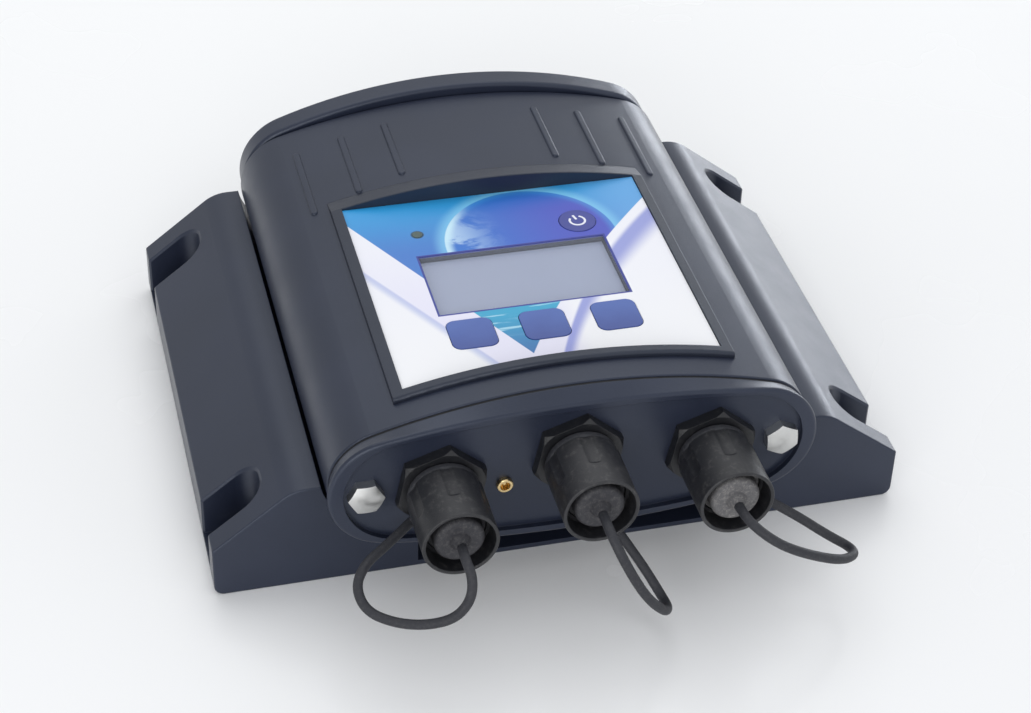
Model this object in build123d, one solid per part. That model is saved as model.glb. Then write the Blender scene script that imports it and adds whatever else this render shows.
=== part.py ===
from build123d import *
import math
import os

# Instrument control and display unit: a lens-shaped moulded body held in a mounting cradle.
# Units are millimetres. +X is to the right, +Y runs to the rear, +Z is up.
# The origin is on the surface the unit stands on, at the centre of the four mounting slots.

# ---- driving dimensions ----
CRADLE_WIDTH = 236.0
CRADLE_LENGTH = 175.0
WING_EDGE_HEIGHT = 19.0
WING_SHOULDER_HEIGHT = 40.2
WING_SHOULDER_X = 91.0
BASE_STRIP = 2.2
TUNNEL_HALF_WIDTH = 50.0
SLOT_SPACING_Y = 140.0
SLOT_SPACING_X = 218.0
POCKET_WIDTH = 16.5
POCKET_INNER_X = 99.3
LEDGE = 5.0
SCREW_SLOT_LENGTH = 13.0
SCREW_SLOT_RADIUS = 3.2

AXIS_HEIGHT = 43.8
WALL = 3.0
# Lens outlines: crown radius, half height and end radius.
TUBE = (230.0, 29.4, 20.5)
CAP_FRONT = (450.0, 26.0, 21.7)
CAP_RECESS = (450.0, 23.4, 19.6)
REAR_CAP = (190.0, 33.0, 23.0)

PANEL_TOP = 68.4
PANEL_HALF_WIDTH = 53.3
BEZEL_RISE = 2.0
DISPLAY_SIZE = (65.6, 33.8)
KEY_SIZE = (15.4, 15.6)
KEY_PITCH = 24.7
POWER_KEY_DIAMETER = 13.0

CONNECTOR_X = (-45.0, 0.0, 45.0)
CONNECTOR_RAISE = (0.0, 5.0, 0.0)
CAP_RING_DIAMETER = 24.8
BARREL_DIAMETER = 19.6
NUT_ACROSS_FLATS = 27.0
BOLT_X = 69.4
BOLT_ACROSS_FLATS = 10.4
BOLT_TURNS = (0.0, 34.0)
INSERT_LENGTH = 12.0
COAX_X = -23.8
COAX_Z = 39.6
COAX_RADIUS = 2.7
LANYARD_DIAMETER = 3.2
TAB_REACH = 14.5
TAB_ANGLES = (222.0, 290.0, 300.0)

CRADLE_SCREW_X = 53.0
CRADLE_SCREW_Y = (-60.0, 60.0)
CRADLE_SCREW_HEAD_TOP = 4.0
CELL_RADIUS = 13.0
CELL_LENGTH = 50.0

# ---- stations along Y ----
FRONT = -CRADLE_LENGTH / 2
REAR = CRADLE_LENGTH / 2
TUBE_FRONT = FRONT - 5.0
TUBE_REAR = REAR - 2.7
GASKET = 1.0
CAP_BACK = TUBE_FRONT - GASKET
CAP_LIP = FRONT - 12.0
CAP_FACE = CAP_LIP + 2.0
REAR_CAP_FRONT = TUBE_REAR + GASKET
REAR_CAP_BACK = REAR + 7.8
SPIGOT_LENGTH = 7.0
NUT_DEPTH = 4.0
SHELL_FRONT = CAP_FACE - 20.5
RING_FRONT = CAP_LIP - 28.0
RING_BACK = RING_FRONT + 22.5
PLUG_FACE = RING_FRONT + 1.4
ROOT_LENGTH = 2.6
COLLAR_FRONT = RING_BACK + 0.3
COLLAR_BACK = CAP_FACE - NUT_DEPTH
COAX_FRONT = CAP_FACE - 1.6

# Display layout, measured back from the front of the cradle.
BEZEL_FRONT = FRONT + 5.0
WINDOW_FRONT = FRONT + 8.6
WINDOW_REAR = FRONT + 112.4
BEZEL_REAR = FRONT + 121.0
DISPLAY_Y = FRONT + 62.0
KEY_Y = FRONT + 33.1
POWER_KEY_AT = (26.4, FRONT + 89.0)
STATUS_LED_AT = (-30.4, FRONT + 92.3)
KEY_PLACES = [(step * KEY_PITCH, KEY_Y) for step in (-1, 0, 1)]
APERTURE_HALF_WIDTH = PANEL_HALF_WIDTH + 2.0
APERTURE_FRONT = WINDOW_FRONT - 1.8
APERTURE_REAR = WINDOW_REAR + 1.8

# Levels through the display assembly, from the label down.
OVERLAY = 0.8
CARRIER = 2.6
CARRIER_TOP = PANEL_TOP - OVERLAY
CARRIER_BOTTOM = CARRIER_TOP - CARRIER
BEZEL_FOOT = CARRIER_BOTTOM - 1.2
KEY_CLEARANCE = 0.2
KEYPAD_TOP = CARRIER_BOTTOM - 1.9
MAIN_BOARD_TOP = 53.6
TRAY_FLOOR = 20.0
CONNECTORS = range(len(CONNECTOR_X))

# Loop points as (x, distance behind the cradle's front, z).
LANYARD_LOOPS = (
    [
        (-46.0, -49.0, 46.5),
        (-44.5, -53.5, 42.5),
        (-45.5, -56.5, 36.0),
        (-50.5, -57.0, 29.5),
        (-59.0, -54.5, 26.0),
        (-68.0, -50.5, 25.0),
        (-76.0, -44.0, 25.5),
        (-78.0, -37.0, 30.0),
        (-73.5, -30.0, 32.5),
        (-65.0, -23.0, 32.5),
    ],
    [
        (-0.5, -48.0, 50.0),
        (0.5, -54.0, 47.5),
        (4.5, -58.0, 38.5),
        (10.5, -59.0, 27.0),
        (18.0, -55.5, 16.5),
        (21.5, -49.0, 11.5),
        (21.5, -42.0, 10.0),
        (17.5, -35.0, 16.5),
        (13.0, -28.0, 22.5),
        (8.5, -20.5, 28.0),
    ],
    [
        (45.0, -48.0, 44.5),
        (49.5, -53.5, 41.5),
        (56.0, -56.5, 37.5),
        (65.5, -57.0, 32.5),
        (77.0, -54.0, 25.5),
        (84.5, -48.0, 21.0),
        (86.0, -40.5, 17.5),
        (80.5, -34.0, 18.0),
        (72.0, -28.0, 22.5),
        (62.5, -21.5, 26.5),
    ],
)

os.makedirs("parts", exist_ok=True)


def save(name, *solids):
    """Writes one node, made of one or more separate solids."""
    shape = solids[0] if len(solids) == 1 else Compound(children=list(solids))
    export_step(shape, f"parts/{name}.step")


def lens_outline(size, inset=0.0):
    """A lens: two shallow crowns joined tangentially by two round ends, on the X and Z axes."""
    crown, half_height, end = (value - inset for value in size)
    end_x = math.sqrt((crown - end) ** 2 - (crown - half_height) ** 2)
    join_x = end_x * crown / (crown - end)
    join_z = math.sqrt(crown**2 - join_x**2) - (crown - half_height)
    right = (join_x, join_z), (end_x + end, 0), (join_x, -join_z)
    top = ThreePointArc((-join_x, join_z), (0, half_height), right[0])
    bottom = ThreePointArc(right[2], (0, -half_height), (-join_x, -join_z))
    left = ThreePointArc(bottom @ 1, (-end_x - end, 0), top @ 0)
    return make_face([top, ThreePointArc(*right), bottom, left])


def upright(y, z=AXIS_HEIGHT, x=0.0):
    """A plane facing the front, so that its X runs right and its Y runs up."""
    return Plane(origin=(x, y, z), x_dir=(1, 0, 0), z_dir=(0, -1, 0))


def lens(size, front, back, inset=0.0):
    """A lens-shaped block from the front station to the back station."""
    return extrude(upright(back) * lens_outline(size, inset), back - front)


def block(low, high):
    """A box from its low corner to its high corner."""
    size = [h - l for l, h in zip(low, high)]
    middle = [(l + h) / 2 for l, h in zip(low, high)]
    return Pos(*middle) * Box(*size)


def rod(x, z, front, back, radius):
    """A round bar along Y."""
    return extrude(upright(back, z, x) * Circle(radius), back - front)


def ring(x, z, front, back, outer, inner):
    """A round sleeve along Y."""
    return extrude(upright(back, z, x) * (Circle(outer) - Circle(inner)), back - front)


def hex_bar(x, z, front, back, across_flats, turn=0.0):
    """A hexagonal bar along Y."""
    outline = Rot(0, 0, turn) * RegularPolygon(across_flats / 2, 6, major_radius=False)
    return extrude(upright(back, z, x) * outline, back - front)


def plate(x, y, top, bottom, outline):
    """A flat piece with the outline seen from above, centred on a point."""
    return extrude(Pos(x, y, bottom) * outline, top - bottom)


def crown_height(x, rise=0.0):
    """Height of the body's crown at a distance from its middle."""
    crown, half_height, _ = TUBE
    return AXIS_HEIGHT + half_height - crown + math.sqrt((crown + rise) ** 2 - x**2)


def under_crown(rise, front, back):
    """Everything below the body's crown, raised by an amount, between two stations."""
    crown, half_height, _ = TUBE
    return rod(0, AXIS_HEIGHT + half_height - crown, front, back, crown + rise)


# ---- mounting cradle ----
def wing_outline(inset=0.0):
    """Half of the cradle's section: outer wall, slope and shoulder, out to the right."""
    edge = CRADLE_WIDTH / 2 - inset
    low = -1.0 if inset else 0.0
    rise = WING_SHOULDER_HEIGHT - WING_EDGE_HEIGHT
    run = CRADLE_WIDTH / 2 - WING_SHOULDER_X
    slant = inset * math.hypot(rise, run) / run
    corner_z = WING_EDGE_HEIGHT + inset * rise / run - slant
    shoulder_x = WING_SHOULDER_X - inset * 0.35
    points = [
        (0, low),
        (edge, low),
        (edge, corner_z),
        (shoulder_x, WING_SHOULDER_HEIGHT - inset),
        (0, WING_SHOULDER_HEIGHT - inset),
    ]
    return Polygon(*points, align=None)


def cored_cells(side):
    """Blind pockets that core out the underside of one wing, with ribs left between them."""
    rib, cell = 2.6, 17.0
    inner_x, web_x, outer_x = 56.0, 84.0, CRADLE_WIDTH / 2 - WALL
    limit = extrude(Plane.XZ.offset(-REAR) * wing_outline(WALL), CRADLE_LENGTH)
    limit -= lens(TUBE, FRONT - 1, REAR + 1, -1.2 - WALL)
    count = int((CRADLE_LENGTH - 2 * WALL + rib) // (cell + rib))
    start = -(count * (cell + rib) - rib) / 2
    cells = []
    for index in range(count):
        low = start + index * (cell + rib)
        beside_slot = abs(abs(low + cell / 2) - SLOT_SPACING_Y / 2) < cell
        outer_limit = POCKET_INNER_X - WALL if beside_slot else outer_x
        for near, far in ((inner_x, web_x - rib), (web_x, outer_limit)):
            cells.append(block((near, low, -1), (far, low + cell, WING_SHOULDER_HEIGHT)) & limit)
    return cells if side > 0 else [mirror(cell, Plane.YZ) for cell in cells]


def slot_pocket(side, y):
    """A U-shaped pocket open at the wing's outer edge, and the screw slot in its floor."""
    corner = 7.0
    reach = CRADLE_WIDTH / 2 + 10 - POCKET_INNER_X
    outline = Pos(POCKET_INNER_X + reach / 2, 0) * RectangleRounded(reach, POCKET_WIDTH, corner)
    pocket = extrude(Pos(0, y, LEDGE) * outline, WING_SHOULDER_HEIGHT)
    screw_slot = SlotOverall(SCREW_SLOT_LENGTH, 2 * SCREW_SLOT_RADIUS)
    pocket += extrude(Pos(SLOT_SPACING_X / 2, y, -1) * screw_slot, LEDGE + 2)
    return pocket if side > 0 else mirror(pocket, Plane.YZ)


def rounded_wing():
    """The right half of the cradle before its cuts: crisp ends, a broad shoulder and a soft foot."""
    shoulder, foot, brow, end_edge = 14.0, 3.4, 1.0, 0.6
    wing = extrude(Plane.XZ.offset(-REAR) * wing_outline(), CRADLE_LENGTH)
    for x, z, radius in (
        (WING_SHOULDER_X, WING_SHOULDER_HEIGHT, shoulder),
        (CRADLE_WIDTH / 2, 0, foot),
        (CRADLE_WIDTH / 2, WING_EDGE_HEIGHT, brow),
    ):
        corner = Vector(x, 0, z)
        edges = wing.edges().filter_by(Axis.Y)
        wing = fillet([edge for edge in edges if (edge.center() - corner).length < 0.1], radius)
    end_edges = [edge for face in wing.faces().filter_by(Axis.Y) for edge in face.edges()]
    outline = [edge for edge in end_edges if edge.center().X > 1 and edge.center().Z > 0.1]
    return fillet(outline, end_edge)


def mounting_cradle():
    """Two hollow wings joined by a thin strip, with a saddle for the body between them."""
    lip = 0.7
    wing = rounded_wing()
    for side in (-1, 1):
        wing -= slot_pocket(1, side * SLOT_SPACING_Y / 2)
    wing = chamfer([e for e in wing.edges() if is_pocket_rim(e)], lip)
    wing = wing + mirror(wing, Plane.YZ)
    wing -= lens(TUBE, FRONT - 1, REAR + 1, -1.2)
    wing -= lens(REAR_CAP, REAR_CAP_FRONT - 0.6, REAR + 1, -0.5)
    wing -= block((-TUNNEL_HALF_WIDTH, FRONT - 1, BASE_STRIP), (TUNNEL_HALF_WIDTH, REAR + 1, 30))
    for side in (-1, 1):
        for cell in cored_cells(side):
            wing -= cell
    for x in (-CRADLE_SCREW_X, CRADLE_SCREW_X):
        for y in CRADLE_SCREW_Y:
            wing -= Pos(x, y, 0) * Cylinder(1.7, 60)
            wing -= Pos(x, y, 0) * Cylinder(3.4, 2 * CRADLE_SCREW_HEAD_TOP)
    return wing


def is_pocket_rim(edge):
    """True for the pocket's edges on the wing's sloping face."""
    middle = edge.center()
    inside_y = abs(abs(middle.Y) - SLOT_SPACING_Y / 2) < POCKET_WIDTH / 2 + 0.5
    return inside_y and middle.X > POCKET_INNER_X - 1 and middle.Z > WING_EDGE_HEIGHT


def cradle_screw(x, y):
    """A pan-head screw up through the cradle into a boss in the body."""
    head = Pos(x, y, CRADLE_SCREW_HEAD_TOP - 1.2) * Cylinder(3.0, 2.4)
    recess = Pos(x, y, CRADLE_SCREW_HEAD_TOP - 2.4) * Box(3.0, 0.8, 1.2)
    recess += Pos(x, y, CRADLE_SCREW_HEAD_TOP - 2.4) * Box(0.8, 3.0, 1.2)
    shank_top = 26.0
    shank = Pos(x, y, (CRADLE_SCREW_HEAD_TOP + shank_top) / 2)
    shank *= Cylinder(1.5, shank_top - CRADLE_SCREW_HEAD_TOP)
    return head + shank - recess


def saddle_pad(x, y):
    """A rubber strip between the cradle's saddle and the body."""
    strip = block((x - 4, y - 24, 0), (x + 4, y + 24, AXIS_HEIGHT))
    shell = lens(TUBE, FRONT, REAR, -1.2) - lens(TUBE, FRONT - 1, REAR + 1)
    return strip & shell


# ---- body ----
def body_rib(x):
    """A low rounded rib along Y on the body's crown."""
    width, height = 2.6, 0.7
    end_y = FRONT + 157.5 + (62.0 - abs(x)) * 0.1
    crown_radius, half_height, _ = TUBE
    start_y = FRONT + 126.0 - (abs(x) - 28.5) * 0.27
    tilt = math.degrees(math.asin(x / crown_radius))
    crown_centre = AXIS_HEIGHT + half_height - crown_radius
    bar = extrude(Pos(0, 0, -1) * SlotOverall(end_y - start_y, width, rotation=90), height + 1)
    bar = fillet(bar.faces().sort_by(Axis.Z)[-1].edges(), 0.65)
    place = Pos(0, (start_y + end_y) / 2, crown_centre) * Rot(0, tilt, 0)
    return place * Pos(0, 0, crown_radius) * bar


def screw_boss(x, z, front, back, radius=6.0):
    """A boss along Y for an end-cap bolt, tied to the side wall by a web."""
    side = 1 if x > 0 else -1
    web = block((0, front, z - 2.5), (9.5, back, z + 2.5))
    web = web if side > 0 else mirror(web, Plane.YZ)
    return rod(x, z, front, back, radius) + Pos(x, 0, 0) * web


def body_tube():
    """The body's shell: open ends, bolt bosses, ribs and the aperture for the display."""
    edge_round = 0.6
    outer = lens(TUBE, TUBE_FRONT, TUBE_REAR)
    outer = fillet(outer.faces().sort_by(Axis.Y)[0].edges(), edge_round)
    shell = outer
    for x in (-62.0, -45.0, -28.5, 28.5, 45.0, 62.0):
        shell += body_rib(x)
    shell -= lens(TUBE, TUBE_FRONT - 1, TUBE_REAR + 1, WALL)
    insert_radius = 4.2
    for x in (-BOLT_X, BOLT_X):
        for front, back in ((TUBE_FRONT, TUBE_FRONT + 22), (TUBE_REAR - 22, TUBE_REAR)):
            shell += screw_boss(x, AXIS_HEIGHT, front, back)
        shell -= rod(x, AXIS_HEIGHT, TUBE_FRONT, TUBE_FRONT + INSERT_LENGTH, insert_radius)
        shell -= rod(x, AXIS_HEIGHT, TUBE_REAR - INSERT_LENGTH, TUBE_REAR, insert_radius)
        for y in CRADLE_SCREW_Y:
            boss = Pos(math.copysign(CRADLE_SCREW_X, x), y, 25.5) * Cylinder(3.6, 9)
            shell += boss & lens(TUBE, TUBE_FRONT, TUBE_REAR, 1.0)
            shell -= Pos(math.copysign(CRADLE_SCREW_X, x), y, 20) * Cylinder(1.5, 12.2)
    aperture_low = (-APERTURE_HALF_WIDTH, APERTURE_FRONT, AXIS_HEIGHT + 8)
    aperture_high = (APERTURE_HALF_WIDTH, APERTURE_REAR, 90)
    return shell - block(aperture_low, aperture_high)


def threaded_insert(x, front, back):
    """A brass insert for an M6 bolt."""
    return ring(x, AXIS_HEIGHT, front, back, 4.2, 3.0)


# ---- end caps ----
def cap_spigot(front):
    """The rim behind or before a cap that enters the body, cleared round the bolt bosses."""
    back = front + SPIGOT_LENGTH
    spigot = lens(TUBE, front, back, WALL + 0.4) - lens(TUBE, front - 1, back + 1, WALL + 2.6)
    for x in (-BOLT_X, BOLT_X):
        spigot -= rod(x, AXIS_HEIGHT, front - 1, back + 1, 7.2)
        low = (x - 14, front - 1, AXIS_HEIGHT - 3.4)
        high = (x + 14, back + 1, AXIS_HEIGHT + 3.4)
        spigot -= block(low, high)
    return spigot


def front_cap():
    """The connector plate: a drafted block with a raised rim, a recessed face and a spigot."""
    back_outline = upright(CAP_BACK) * lens_outline(TUBE, 0.4)
    lip_outline = upright(CAP_LIP) * lens_outline(CAP_FRONT)
    cap = loft([back_outline, lip_outline], ruled=True)
    cap = fillet(cap.faces().sort_by(Axis.Y)[0].edges(), 1.2)
    cap -= lens(CAP_RECESS, CAP_LIP - 1, CAP_FACE)
    cap += cap_spigot(CAP_BACK)
    for x in (-BOLT_X, BOLT_X):
        cap -= rod(x, AXIS_HEIGHT, CAP_LIP - 1, CAP_BACK + 1, 3.3)
    for x, raise_z in zip(CONNECTOR_X, CONNECTOR_RAISE):
        cap -= rod(x, AXIS_HEIGHT + raise_z, CAP_LIP - 1, CAP_BACK + 1, BARREL_DIAMETER / 2)
    return cap - rod(COAX_X, COAX_Z, CAP_LIP - 1, CAP_BACK + 1, COAX_RADIUS)


def rear_cap():
    """The rear cap, which stands proud of the body all round as a lip, and its spigot."""
    front_round, back_round = 1.6, 1.0
    cap = lens(REAR_CAP, REAR_CAP_FRONT, REAR_CAP_BACK)
    cap = fillet(cap.faces().sort_by(Axis.Y)[0].edges(), front_round)
    cap = fillet(cap.faces().sort_by(Axis.Y)[-1].edges(), back_round)
    for x in (-BOLT_X, BOLT_X):
        cap -= rod(x, AXIS_HEIGHT, REAR_CAP_FRONT - 1, REAR_CAP_BACK + 1, 3.3)
    return cap + cap_spigot(REAR_CAP_FRONT - SPIGOT_LENGTH)


def cap_gasket(front):
    """A flat seal between the body's end and a cap."""
    back = front + GASKET
    return lens(TUBE, front, back, 0.6) - lens(TUBE, front - 1, back + 1, WALL + 0.2)


def cap_bolt(x, seat, direction, turn=30.0):
    """A domed hex bolt; direction is -1 when its head faces the front."""
    head_height, shank_length, dome_radius = 4.4, 16.0, 15.0
    head = hex_bar(x, AXIS_HEIGHT, seat - head_height, seat, BOLT_ACROSS_FLATS, turn)
    head &= Pos(x, seat - head_height + dome_radius, AXIS_HEIGHT) * Sphere(dome_radius)
    bolt = head + rod(x, AXIS_HEIGHT, seat, seat + shank_length, 3.0)
    return mirror(bolt, Plane.XZ.offset(-seat)) if direction > 0 else bolt


# ---- display assembly ----
def display_bezel():
    """The raised frame round the display, which follows the crown and carries the panel."""
    half_width = PANEL_HALF_WIDTH + 3.7
    frame = under_crown(BEZEL_RISE, BEZEL_FRONT, BEZEL_REAR)
    frame &= block((-half_width, BEZEL_FRONT, BEZEL_FOOT), (half_width, BEZEL_REAR, 90))
    top_edges = [e for e in frame.edges() if e.center().Z > crown_height(half_width)]
    rear_edge = [e for e in top_edges if e.center().Y > BEZEL_REAR - 0.5]
    rear_face = frame.faces().sort_by(Axis.Y)[-1]
    frame = chamfer(rear_edge, BEZEL_RISE - 0.1, 8.0, reference=rear_face)
    front_edge = [e for e in frame.edges() if e.center().Y < BEZEL_FRONT + 0.5 and e.center().Z > 70]
    frame = fillet(front_edge, 1.1)
    gap = 0.15
    seat = under_crown(0, BEZEL_FRONT - 1, BEZEL_REAR + 1)
    skirt_low = (-APERTURE_HALF_WIDTH + gap, APERTURE_FRONT + gap, 0)
    skirt_high = (APERTURE_HALF_WIDTH - gap, APERTURE_REAR - gap, 90)
    seat -= block(skirt_low, skirt_high)
    frame -= seat
    frame -= block((-PANEL_HALF_WIDTH, WINDOW_FRONT, CARRIER_BOTTOM), (PANEL_HALF_WIDTH, WINDOW_REAR, 90))
    ledge = 2.0
    low = (-PANEL_HALF_WIDTH + ledge, WINDOW_FRONT + ledge, 0)
    high = (PANEL_HALF_WIDTH - ledge, WINDOW_REAR - ledge, 90)
    return frame - block(low, high)


def key_outline(grow=0.0):
    """A soft key's outline seen from above."""
    width, height = KEY_SIZE
    return RectangleRounded(width + 2 * grow, height + 2 * grow, 3.2 + grow)


def power_outline(grow=0.0):
    """The power key's outline seen from above."""
    return Circle(POWER_KEY_DIAMETER / 2 + grow)


def panel_openings(top, bottom):
    """The openings for the display, keys and status light between two levels."""
    width, depth = DISPLAY_SIZE
    clearance = 0.2
    holes = [plate(0, DISPLAY_Y, top, bottom, Rectangle(width + clearance, depth + clearance))]
    for x, y in KEY_PLACES:
        holes.append(plate(x, y, top, bottom, key_outline(KEY_CLEARANCE)))
    holes.append(plate(*POWER_KEY_AT, top, bottom, power_outline(KEY_CLEARANCE)))
    holes.append(plate(*STATUS_LED_AT, top, bottom, Circle(1.9)))
    return holes


def panel_sheet(top, bottom, margin):
    """A rectangular sheet of the panel with its openings cut."""
    low = (-PANEL_HALF_WIDTH + margin, WINDOW_FRONT + margin, bottom)
    high = (PANEL_HALF_WIDTH - margin, WINDOW_REAR - margin, top)
    sheet = block(low, high)
    for hole in panel_openings(top + 1, bottom - 1):
        sheet -= hole
    return sheet


def key(x, y, outline):
    """A key cap with a retaining flange under the carrier and a stem above its dome."""
    proud, flange, flange_grow, stem_length = 0.25, 0.8, 0.9, 0.25
    flange_top = CARRIER_BOTTOM - 0.02
    cap = plate(x, y, PANEL_TOP + proud, flange_top, outline())
    cap = fillet(cap.faces().sort_by(Axis.Z)[-1].edges(), 0.2)
    cap += plate(x, y, flange_top, flange_top - flange, outline(flange_grow))
    return cap + plate(x, y, flange_top - flange, flange_top - flange - stem_length, Circle(2.0))


def display_module():
    """The liquid-crystal cell with its metal frame, below the window."""
    width, depth = DISPLAY_SIZE
    top = CARRIER_BOTTOM + 0.9
    cell = plate(0, DISPLAY_Y, top, CARRIER_BOTTOM, Rectangle(width - 0.6, depth - 0.6))
    frame_y, frame = DISPLAY_Y - 0.4, Rectangle(width + 6, depth + 5.2)
    cell += plate(0, frame_y, CARRIER_BOTTOM, CARRIER_BOTTOM - 1.8, frame)
    return cell


def board_parts():
    """The larger components that stand on the main board."""
    top = MAIN_BOARD_TOP
    y = FRONT
    return [
        block((-24, y + 60, top), (-4, y + 80, top + 1.8)),
        block((8, y + 64, top), (22, y + 78, top + 1.6)),
        block((30, y + 60, top), (38, y + 74, top + 1.4)),
        block((-40, y + 92, top), (-28, y + 104, top + 3.2)),
        block((-12, y + 104, top), (8, y + 110, top + 4.0)),
        block((24, y + 98, top), (40, y + 108, top + 2.6)),
        block((-20, y + 38, top), (20, y + 43, top + 3.5)),
        Pos(-36, y + 70, top + 2) * Cylinder(3.0, 4),
        Pos(-36, y + 80, top + 2) * Cylinder(3.0, 4),
    ]


def board_spacer(x, y):
    """A hexagonal spacer from the body's floor to the main board."""
    across_flats, floor_gap = 5.5, 0.8
    foot = 2 * AXIS_HEIGHT - crown_height(x) + WALL + floor_gap
    outline = RegularPolygon(across_flats / 2, 6, major_radius=False)
    return plate(x, y, MAIN_BOARD_TOP - 1.6, foot, outline)


def board_screw(x, y):
    """A small pan-head screw through the main board into its spacer."""
    head = Pos(x, y, MAIN_BOARD_TOP + 0.9) * Cylinder(2.6, 1.8)
    return head + Pos(x, y, MAIN_BOARD_TOP - 0.8) * Cylinder(1.5, 1.6)


def main_board(screw_places):
    """The main board, drilled for its screws."""
    board = block((-44, FRONT + 32, MAIN_BOARD_TOP - 1.6), (44, FRONT + 118, MAIN_BOARD_TOP))
    for x, y in screw_places:
        board -= Pos(x, y, MAIN_BOARD_TOP) * Cylinder(1.6, 10)
    return board


def battery_pack():
    """An open tray on the body's floor, and the four cells that lie in it."""
    wall, front, rear = 2.0, FRONT + 40, FRONT + 148
    tray = block((-30, front, TRAY_FLOOR), (30, rear, TRAY_FLOOR + 18))
    tray -= block((wall - 30, front + wall, TRAY_FLOOR + wall), (30 - wall, rear - wall, TRAY_FLOOR + 30))
    cell_z = TRAY_FLOOR + wall + CELL_RADIUS
    cells = []
    for x in (-13.6, 13.6):
        for start in (front + 3, front + 4 + CELL_LENGTH):
            cells.append(rod(x, cell_z, start, start + CELL_LENGTH, CELL_RADIUS))
    return tray, cells


# ---- connectors ----
def coax_socket():
    """The coaxial socket, almost flush with the cap's face, and its flange behind the plate."""
    bore = 1.7
    barrel = rod(COAX_X, COAX_Z, COAX_FRONT, CAP_BACK + 8, COAX_RADIUS)
    barrel = fillet(barrel.faces().sort_by(Axis.Y)[0].edges(), 0.5)
    socket = barrel + rod(COAX_X, COAX_Z, CAP_BACK + 0.1, CAP_BACK + 1.4, 4.6)
    socket -= rod(COAX_X, COAX_Z, COAX_FRONT - 1, COAX_FRONT + 3.5, bore)
    return socket - rod(COAX_X, COAX_Z, COAX_FRONT - 1, CAP_BACK + 9, 0.65)


def coax_nut():
    """The nut that draws the socket's flange up behind the plate."""
    nut = hex_bar(COAX_X, COAX_Z, CAP_BACK + 1.5, CAP_BACK + 3.7, 8.0)
    return nut - rod(COAX_X, COAX_Z, CAP_BACK, CAP_BACK + 5, COAX_RADIUS + 0.02)


def connector_shell(x, z):
    """A bulkhead receptacle: a tube through the cap with a flange behind the plate."""
    flange_back = CAP_BACK + 4.0
    shell = rod(x, z, SHELL_FRONT, flange_back + 8, BARREL_DIAMETER / 2)
    shell += rod(x, z, CAP_BACK + 1.0, flange_back, 13.2)
    return shell - rod(x, z, SHELL_FRONT - 1, flange_back + 9, 7.6)


def contact_insert(x, z):
    """The insulating insert and its ring of pins, inside the shell."""
    front, back = SHELL_FRONT + 13.0, CAP_BACK + 11.0
    insert = rod(x, z, front, back, 7.6)
    for index in range(6):
        angle = math.radians(60 * index + 30)
        pin_x, pin_z = x + 4.4 * math.cos(angle), z + 4.4 * math.sin(angle)
        insert += rod(pin_x, pin_z, front - 7.0, back + 3.0, 0.75)
    return insert


def hex_nut(x, z):
    """The panel nut, drawn up against the recessed face."""
    nut = hex_bar(x, z, COLLAR_BACK, CAP_FACE, NUT_ACROSS_FLATS, 19)
    crown_centre, crown_radius = 13.7, 19.8
    nut &= Pos(x, COLLAR_BACK + crown_centre, z) * Sphere(crown_radius)
    return nut - rod(x, z, COLLAR_BACK - 1, CAP_FACE + 1, BARREL_DIAMETER / 2)


def cap_ring(x, z):
    """The coupling ring of the dust cap: a thin-lipped mouth and six broad shallow grip scallops."""
    outer, bore, mouth = CAP_RING_DIAMETER / 2, BARREL_DIAMETER / 2 + 0.15, 11.1
    scallops, scallop_radius, scallop_depth = 6, 6.0, 0.55
    ring_body = ring(x, z, RING_FRONT, RING_BACK, outer, bore)
    ring_body -= rod(x, z, RING_FRONT - 1, SHELL_FRONT - 1.7, mouth)
    ring_body = fillet(ring_body.faces().sort_by(Axis.Y)[0].edges(), 0.45)
    reach = outer + scallop_radius - scallop_depth
    for index in range(scallops):
        angle = 2 * math.pi * (index + 0.5) / scallops
        groove_x, groove_z = x + reach * math.cos(angle), z + reach * math.sin(angle)
        groove = rod(groove_x, groove_z, RING_FRONT + 8.6, RING_BACK + 4, scallop_radius)
        ring_body -= fillet(groove.faces().sort_by(Axis.Y)[0].edges(), 2.0)
    return ring_body


def cap_plug(x, z):
    """The rubber plug of the dust cap, which closes the shell and holds the lanyard."""
    disc_radius, disc_round, flange_radius, stub_radius = 8.2, 1.8, 9.6, 7.4
    plug = rod(x, z, PLUG_FACE, SHELL_FRONT, disc_radius)
    plug = fillet(plug.faces().sort_by(Axis.Y)[0].edges(), disc_round)
    plug += rod(x, z, SHELL_FRONT - 1.4, SHELL_FRONT, flange_radius)
    plug += rod(x, z, SHELL_FRONT, SHELL_FRONT + 4.5, stub_radius)
    root = Pos(x, PLUG_FACE - ROOT_LENGTH / 2, z) * Rot(90, 0, 0)
    return plug + root * Cone(3.4, LANYARD_DIAMETER / 2 + 0.4, ROOT_LENGTH)


def lanyard_collar(x, z, tab_angle):
    """The eye of the lanyard, round the shell between the nut and the coupling ring."""
    middle = (COLLAR_FRONT + COLLAR_BACK) / 2
    collar_radius, collar_round = 12.0, 1.2
    collar = ring(x, z, COLLAR_FRONT, COLLAR_BACK, collar_radius, BARREL_DIAMETER / 2 + 0.05)
    rims = [edge for edge in collar.edges().filter_by(GeomType.CIRCLE) if edge.radius > collar_radius - 0.1]
    collar = fillet(rims, collar_round)
    angle = math.radians(tab_angle)
    direction = (math.cos(angle), 0, math.sin(angle))
    tab_root = 11.2
    start = Vector(x, middle, z) + Vector(*direction) * tab_root
    tab_plane = Plane(origin=start, z_dir=direction)
    return collar + extrude(tab_plane * Circle(LANYARD_DIAMETER / 2 - 0.05), TAB_REACH - tab_root)


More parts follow.
